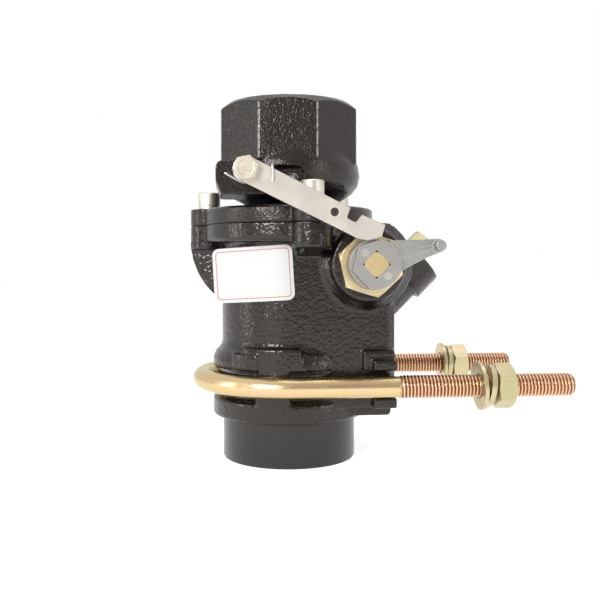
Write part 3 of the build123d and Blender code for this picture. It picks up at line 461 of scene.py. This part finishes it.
def softCasting(node, look):
    mesh = nodes[node].data.copy()
    piece = newObject(look["name"], mesh)
    work = bmesh.new()
    work.from_mesh(mesh)
    bmesh.ops.remove_doubles(work, verts=work.verts, dist=1e-6)
    if look["cutBelow"] is not None:
        everything = work.verts[:] + work.edges[:] + work.faces[:]
        cut = bmesh.ops.bisect_plane(work, geom=everything, dist=1e-7, plane_co=(0, 0, look["cutBelow"]),
                                     plane_no=(0, 0, 1), clear_inner=True)
        rim = [e for e in cut["geom_cut"] if isinstance(e, bmesh.types.BMEdge)]
        bmesh.ops.triangle_fill(work, use_beauty=True, edges=rim)
    work.to_mesh(mesh)
    work.free()
    remesh = piece.modifiers.new("remesh", "REMESH")
    remesh.mode = "VOXEL"
    remesh.voxel_size = look["voxel"]
    soften = piece.modifiers.new("soften", "SMOOTH")
    soften.factor = 0.5
    soften.iterations = look["smooth"]
    applyModifiers(piece)
    spots = np.empty(len(piece.data.vertices) * 3, np.float32)
    ways = np.empty(len(piece.data.vertices) * 3, np.float32)
    piece.data.vertices.foreach_get("co", spots)
    piece.data.vertex_normals.foreach_get("vector", ways)
    spots, ways = spots.reshape(-1, 3), ways.reshape(-1, 3)
    rise = np.array([noise.noise(Vector(s) * 420.0) for s in spots], np.float32)
    spots += ways * (rise * look["lumps"])[:, None]
    piece.data.vertices.foreach_set("co", spots.ravel())
    piece.data.update()
    smoothShade(piece)
    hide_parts(node)
    print(look["name"], "has", len(piece.data.polygons), "faces")
    return piece


lowerCasting = softCasting("lower_body", castings["lower_body"])
upperCasting = softCasting("upper_body", castings["upper_body"])
leverCasting = softCasting("lever", castings["lever"])
dress(lowerCasting, blackPaint)
dress(upperCasting, blackPaintFine)
dress(leverCasting, leverGrey)
for piece in (lowerCasting, upperCasting):
    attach(piece, "valve")
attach(leverCasting, "stem")


# The inlet: a turned ring with a taper pipe thread inside, and the outlet's thread

pipeThread = {"pitch": 2.209, "depth": 1.15, "radius": 22.4, "steps": 96, "rowsPerTurn": 8}
inletRing = {"radius": 30.5, "height": 20.05, "corner": 0.9}


def threadProfile(turns):  # 0 at the root, 1 at the crest
    along = turns % 1.0
    return min(1.0, max(0.0, 1.6 - abs(along - 0.5) * 3.8))


def threadedWall(low, high, look):  # rows of rings up a threaded bore, in millimetres
    rows = round((high - low) / look["pitch"] * look["rowsPerTurn"])
    rings = []
    for row in range(rows + 1):
        z = low + (high - low) * row / rows
        lead = min(1.0, (z - low) / look["pitch"], (high - z) / look["pitch"])
        for k in range(look["steps"]):
            turn = k / look["steps"]
            r = look["radius"] - look["depth"] * lead * threadProfile(z / look["pitch"] - turn)
            angle = 2 * math.pi * turn
            rings.append((r * math.cos(angle), r * math.sin(angle), z))
    return rings, rows + 1


def flatRings(profile, steps):
    return [(r * math.cos(2 * math.pi * k / steps), r * math.sin(2 * math.pi * k / steps), z)
            for r, z in profile for k in range(steps)]


def makeInlet(ring, thread):
    steps = thread["steps"]
    r, h, c = ring["radius"], ring["height"], ring["corner"]
    inner, innerRows = threadedWall(0.6, h, thread)
    outside = [(thread["radius"] + 0.9, h), (r - 0.3, h), (r, h - 0.3), (r, c + 0.25), (r - c * 0.35, c * 0.4),
               (r - c, 0.0), (thread["radius"] + 1.1, 0.0)]
    points = inner + flatRings(outside, steps)
    piece = newObject("inletRing", meshFrom("inletRing", points, ringFaces(innerRows + len(outside), steps, True)))
    facesOutward(piece)
    smoothShade(piece, 35)
    dress(piece, turnedBlack)
    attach(piece, "valve")


def makeOutletThread(thread):
    steps = thread["steps"]
    inner, innerRows = threadedWall(139.3, 162.4, thread)
    outside = [(thread["radius"] + 0.5, 162.4), (thread["radius"] + 0.5, 139.3)]
    points = inner + flatRings(outside, steps)
    piece = newObject("outletThread", meshFrom("outletThread", points, ringFaces(innerRows + 2, steps, True)))
    facesOutward(piece)
    smoothShade(piece, 35)
    dress(piece, turnedBlack)
    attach(piece, "valve")


makeInlet(inletRing, pipeThread)
makeOutletThread(pipeThread)
print("inlet and outlet threads cut")


# The U-bolt, with its rolled threads

bolt = {"z": 36.8, "bend": 40.0, "shank": 4.5, "crest": 5.0, "root": 4.15, "pitch": 1.5, "start": 43.0, "end": 120.0,
        "sides": 48, "rowsPerTurn": 10, "bendSteps": 72, "endChamfer": 1.2}


def boltLeg(side, look):
    rows = round((look["end"] - look["start"]) / look["pitch"] * look["rowsPerTurn"])
    points = []
    for row in range(rows + 1):
        x = look["start"] + (look["end"] - look["start"]) * row / rows
        runIn = min(1.0, max(0.0, (x - look["start"]) / 2.4))
        limit = look["crest"] - max(0.0, x - look["end"] + look["endChamfer"]) * 0.8
        for k in range(look["sides"]):
            turn = k / look["sides"]
            crest = threadProfile(x / look["pitch"] - turn)
            cut = look["root"] + (look["crest"] - look["root"]) * crest
            r = min(limit, look["shank"] + (cut - look["shank"]) * runIn)
            angle = 2 * math.pi * turn
            points.append((x, side * look["bend"] + r * math.cos(angle), look["z"] + r * math.sin(angle)))
    faces = ringFaces(rows + 1, look["sides"])
    last = rows * look["sides"]
    faces.append(tuple(range(last, last + look["sides"])))
    return points, faces


def boltBend(look):
    stations = [((x, -look["bend"]), (0.0, 1.0)) for x in (look["start"], 30.0, 15.0)]
    for step in range(look["bendSteps"] + 1):
        angle = -math.pi / 2 - math.pi * step / look["bendSteps"]
        way = (math.cos(angle), math.sin(angle))
        stations.append(((look["bend"] * way[0], look["bend"] * way[1]), (-way[0], -way[1])))
    stations += [((x, look["bend"]), (0.0, -1.0)) for x in (15.0, 30.0, look["start"])]
    points = []
    for (x, y), (inX, inY) in stations:
        for k in range(look["sides"]):
            angle = 2 * math.pi * k / look["sides"]
            reach = look["shank"] * math.cos(angle)
            points.append((x + inX * reach, y + inY * reach, look["z"] + look["shank"] * math.sin(angle)))
    return points, ringFaces(len(stations), look["sides"])


def makeBolt(look):
    points, faces = [], []
    for more, moreFaces in (boltBend(look), boltLeg(-1, look), boltLeg(1, look)):
        faces += [tuple(i + len(points) for i in face) for face in moreFaces]
        points += more
    piece = newObject("threadedUBolt", meshFrom("threadedUBolt", points, faces))
    facesOutward(piece)
    smoothShade(piece, 40)
    dress(piece, zincBolt)
    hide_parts("ubolt")
    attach(piece, "valve")


makeBolt(bolt)
print("U-bolt threaded")


# The two springs, as round wire that winds up between its two bodies

linkSpring = {"x": -21.9, "z": 127.4, "radius": 4.5, "pitch": 1.6, "turns": 4, "back": 41.85, "wire": 0.55,
              "backToe": (-30.3, 126.9), "backEnd": 37.5, "over": 55.1, "hookDrop": 6.6}
closingSpring = {"x": 31.2, "z": 88.9, "radius": 6.6, "pitch": 2.0, "turns": 5, "back": 11.1, "wire": 0.8,
                 "backToe": (12.2, 83.7), "backEnd": 3.0, "frontToe": (39.3, 76.9), "foot": 8.0}


def leavingAngle(along, up, radius, side):
    return math.atan2(up, along) - side * math.acos(radius / math.hypot(along, up))


def coilPoints(look, frontToe):
    x, z, r = look["x"], look["z"], look["radius"]
    first = leavingAngle(look["backToe"][0] - x, look["backToe"][1] - z, r, -1)
    last = leavingAngle(frontToe[0] - x, frontToe[1] - z, r, 1)
    turns = look["turns"] + ((last - first) / (2 * math.pi)) % 1
    steps = round(turns * 30)
    coil = []
    for step in range(steps + 1):
        angle = first + 2 * math.pi * turns * step / steps
        y = -look["back"] - look["pitch"] * turns * step / steps
        coil.append((x + r * math.cos(angle), y, z + r * math.sin(angle)))
    return coil


def roundCorners(points, reach):
    line = [Vector(points[0])]
    for before, corner, after in zip(points, points[1:], points[2:]):
        corner = Vector(corner)
        a = corner + (Vector(before) - corner).normalized() * reach
        c = corner + (Vector(after) - corner).normalized() * reach
        for step in range(7):
            t = step / 6
            line.append(a * (1 - t) ** 2 + corner * 2 * t * (1 - t) + c * t * t)
    return line + [Vector(points[-1])]


def makeLinkSpring(look):
    slope = math.radians(-26)
    across = 5.1 + look["wire"] + 0.25
    hook = (look["x"] + 9 * math.cos(slope) - across * math.sin(slope),
            look["z"] + 9 * math.sin(slope) + across * math.cos(slope))
    coil = coilPoints(look, hook)
    toe = look["backToe"]
    back = roundCorners([coil[0], (toe[0], coil[0][1], toe[1]), (toe[0], -look["backEnd"], toe[1])], 1.0)
    front = roundCorners([coil[-1], (hook[0], coil[-1][1], hook[1]), (hook[0], -look["over"], hook[1]),
                          (hook[0] + 0.3, -look["over"], hook[1] - look["hookDrop"])], 0.9)
    piece = wire("linkSpringWire", list(reversed(back)) + coil[1:-1] + front, look["wire"])
    dress(piece, springSteel)
    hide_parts("link_spring")
    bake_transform(piece)


def makeClosingSpring(look):
    coil = coilPoints(look, look["frontToe"])
    toe, wall = look["backToe"], look["frontToe"]
    back = roundCorners([coil[0], (toe[0], coil[0][1], toe[1]), (toe[0], -look["backEnd"], toe[1])], 1.6)
    front = roundCorners([coil[-1], (wall[0], coil[-1][1], wall[1]), (wall[0], coil[-1][1], wall[1] - look["foot"])],
                         1.6)
    piece = wire("closingSpringWire", list(reversed(back)) + coil[1:-1] + front, look["wire"])
    dress(piece, springSteel)
    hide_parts("closing_spring")
    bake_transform(piece)


makeLinkSpring(linkSpring)
makeClosingSpring(closingSpring)
print("springs wound")


# The blank sticker, white with a thin red line inside its edge

sticker = {"turn": -5.5, "shift": -15.4, "middle": 84.6, "width": 35.6, "height": 24.0, "tilt": 3.5, "corner": 3.0,
           "inset": 1.55, "line": 0.20, "paper": (0.86, 0.86, 0.85), "ink": (0.62, 0.13, 0.10)}


def makeStickerPaper(look):
    material, tree, skin = newMaterial("stickerPaper")
    spot = place(tree, "ShaderNodeTexCoord").outputs["Object"]
    inMillimetres = place(tree, "ShaderNodeVectorMath", {0: spot, 1: (1000.0, 1000.0, 1000.0)}, operation="MULTIPLY")
    x, y, z = place(tree, "ShaderNodeSeparateXYZ", {0: inMillimetres.outputs[0]}).outputs
    turn, tilt = math.radians(look["turn"]), math.radians(look["tilt"])
    u = maths(tree, "SUBTRACT", maths(tree, "ADD", maths(tree, "MULTIPLY", x, math.cos(turn)),
                                      maths(tree, "MULTIPLY", y, math.sin(turn))), look["shift"])
    v = maths(tree, "SUBTRACT", z, look["middle"])
    along = maths(tree, "ADD", maths(tree, "MULTIPLY", u, math.cos(tilt)), maths(tree, "MULTIPLY", v, math.sin(tilt)))
    up = maths(tree, "SUBTRACT", maths(tree, "MULTIPLY", v, math.cos(tilt)), maths(tree, "MULTIPLY", u, math.sin(tilt)))
    sideways = maths(tree, "SUBTRACT", maths(tree, "ABSOLUTE", along), look["width"] / 2 - look["corner"])
    upward = maths(tree, "SUBTRACT", maths(tree, "ABSOLUTE", up), look["height"] / 2 - look["corner"])
    cornerDistance = place(tree, "ShaderNodeCombineXYZ", {0: maths(tree, "MAXIMUM", sideways, 0.0),
                                                          1: maths(tree, "MAXIMUM", upward, 0.0)})
    outer = place(tree, "ShaderNodeVectorMath", {0: cornerDistance.outputs[0]}, operation="LENGTH").outputs["Value"]
    inner = maths(tree, "MINIMUM", maths(tree, "MAXIMUM", sideways, upward), 0.0)
    distance = maths(tree, "SUBTRACT", maths(tree, "ADD", outer, inner), look["corner"])
    off = maths(tree, "ABSOLUTE", maths(tree, "ADD", distance, look["inset"]))
    line = place(tree, "ShaderNodeMapRange", {"Value": off, "From Min": look["line"] * 0.6,
                                              "From Max": look["line"] * 1.6, "To Min": 0.8, "To Max": 0.0})
    fibres = place(tree, "ShaderNodeTexNoise", {"Vector": spot, "Scale": 160.0, "Detail": 4.0})
    paper = blendColours(tree, fibres.outputs["Fac"], tuple(c * 0.965 for c in look["paper"]), look["paper"])
    tree.links.new(blendColours(tree, line.outputs[0], paper, look["ink"]), skin["Base Color"])
    tree.links.new(bump(tree, fibres.outputs["Fac"], 0.15, 0.0003), skin["Normal"])
    skin["Roughness"].default_value = 0.4
    return material


stickerPaper = makeStickerPaper(sticker)


# What each CAD node that stays is made of

finishes = {
    "seat_ring": seatBrass, "flange_seal": blackRubber, "flange_screws": brightZinc,
    "flange_lock_washers": brightZinc, "packing_nut": paleBrass, "packing_follower": plainSteel,
    "stem_packing": whitePacking, "stem_bush": seatBrass, "test_plug": zincNut, "test_plug_washer": softCopper,
    "label": stickerPaper, "link_bolt": zincHead, "link_spacer": brightZinc, "ubolt_flat_washers": zincNut,
    "ubolt_lock_washers": zincNut, "ubolt_nuts": zincNut, "stem": stemBrass, "hub_plate": leverGrey,
    "fusible_plugs": softAlloy, "flapper_arm": plainSteel, "arm_pin": plainSteel, "flapper_disc": plainSteel,
    "flapper_seal": blackRubber, "seal_plate": plainSteel, "flapper_nut": plainSteel, "link_plate": satinNickel,
    "lower_body": blackPaint, "upper_body": blackPaint, "lever": leverGrey, "ubolt": zincBolt,
    "link_spring": springSteel, "closing_spring": springSteel,
}
for node, finish in finishes.items():
    slots = nodes[node].material_slots
    for slot in slots:
        slot.material = finish
    if not slots:
        nodes[node].data.materials.append(finish)
print("CAD nodes dressed")


# Floor, light and camera

studio = {"floor": (0.90, 0.90, 0.90), "floorGlow": 0.82, "worldLight": 0.20, "frontReflection": 0.45,
          "lamps": [
              {"name": "keyBox", "at": (-0.52, -0.82, 0.42), "size": (0.34, 0.36), "power": 6.4},
              {"name": "sideLeftStrip", "at": (-0.98, -0.16, 0.16), "size": (0.13, 0.9), "power": 2.2},
              {"name": "rightStrip", "at": (0.74, -0.66, 0.18), "size": (0.14, 0.9), "power": 2.2},
              {"name": "topBox", "at": (0.05, 0.05, 1.05), "size": (0.5, 0.5), "power": 2.0}]}


def whereLit(path, *rays):  # 1 where any of the named rays comes in
    tree = path[0].id_data
    seen = path[rays[0]]
    for ray in rays[1:]:
        seen = maths(tree, "MAXIMUM", seen, path[ray])
    return seen


def makeFloor(look):
    floor = newObject("floor", meshFrom("floor", [(-3000, -3000, 0), (3000, -3000, 0), (3000, 3000, 0),
                                                  (-3000, 3000, 0)], [(0, 1, 2, 3)]))
    material, tree, skin = newMaterial("paleFloor")
    spot = place(tree, "ShaderNodeTexCoord").outputs["Object"]
    cloud = place(tree, "ShaderNodeTexNoise", {"Vector": spot, "Scale": 3.0})
    tree.links.new(blendColours(tree, cloud.outputs["Fac"], tuple(c * 0.995 for c in look["floor"]), look["floor"]),
                   skin["Base Color"])
    skin["Roughness"].default_value = 0.9
    skin["Specular IOR Level"].default_value = 0.1
    skin["Emission Color"].default_value = (1, 1, 1, 1)
    path = place(tree, "ShaderNodeLightPath").outputs
    seen = whereLit(path, "Is Camera Ray", "Is Glossy Ray", "Is Transmission Ray")
    tree.links.new(maths(tree, "MULTIPLY", seen, look["floorGlow"]), skin["Emission Strength"])
    dress(floor, material)


def makeWorld(look):
    world = bpy.data.worlds.new("studioWorld")
    bpy.context.scene.world = world
    world.use_nodes = True
    tree = world.node_tree
    path = place(tree, "ShaderNodeLightPath").outputs
    heading = place(tree, "ShaderNodeTexCoord").outputs["Generated"]
    forward = place(tree, "ShaderNodeSeparateXYZ", {0: heading}).outputs["Y"]
    behindCamera = place(tree, "ShaderNodeMapRange", {"Value": forward, "From Min": -0.85, "From Max": -0.25,
                                                      "To Min": look["frontReflection"], "To Max": 1.0})
    mirrored = maths(tree, "MULTIPLY", whereLit(path, "Is Glossy Ray", "Is Transmission Ray"), behindCamera.outputs[0])
    seen = maths(tree, "MAXIMUM", path["Is Camera Ray"], mirrored)
    strength = maths(tree, "MAXIMUM", seen, look["worldLight"])
    tree.links.new(strength, tree.nodes["Background"].inputs["Strength"])
    tree.nodes["Background"].inputs["Color"].default_value = (1, 1, 1, 1)


def hangLamp(lamp):
    light = bpy.data.lights.new(lamp["name"], "AREA")
    light.shape = "RECTANGLE"
    light.size, light.size_y = lamp["size"]
    light.energy = lamp["power"]
    holder = bpy.data.objects.new(lamp["name"], light)
    holder.location = lamp["at"]
    aim = Vector((0.0, 0.0, 0.085)) - Vector(lamp["at"])
    holder.rotation_euler = aim.to_track_quat("-Z", "Y").to_euler()
    bpy.context.scene.collection.objects.link(holder)


makeFloor(studio)
makeWorld(studio)
for lamp in studio["lamps"]:
    hangLamp(lamp)

view = {"lens": 48.0, "at": (-30.89, -374.77, 89.5), "turn": -5.5, "shiftY": -0.0617}
camera = bpy.data.cameras.new("camera")
camera.lens = view["lens"]
camera.sensor_width = 36.0
camera.shift_y = view["shiftY"]
camera.clip_start = 0.01
cameraHolder = bpy.data.objects.new("camera", camera)
cameraHolder.location = [c * mm for c in view["at"]]
cameraHolder.rotation_euler = (math.pi / 2, 0, math.radians(view["turn"]))
bpy.context.scene.collection.objects.link(cameraHolder)
bpy.context.scene.camera = cameraHolder
bpy.context.scene.view_settings.view_transform = "Standard"
print("studio set")
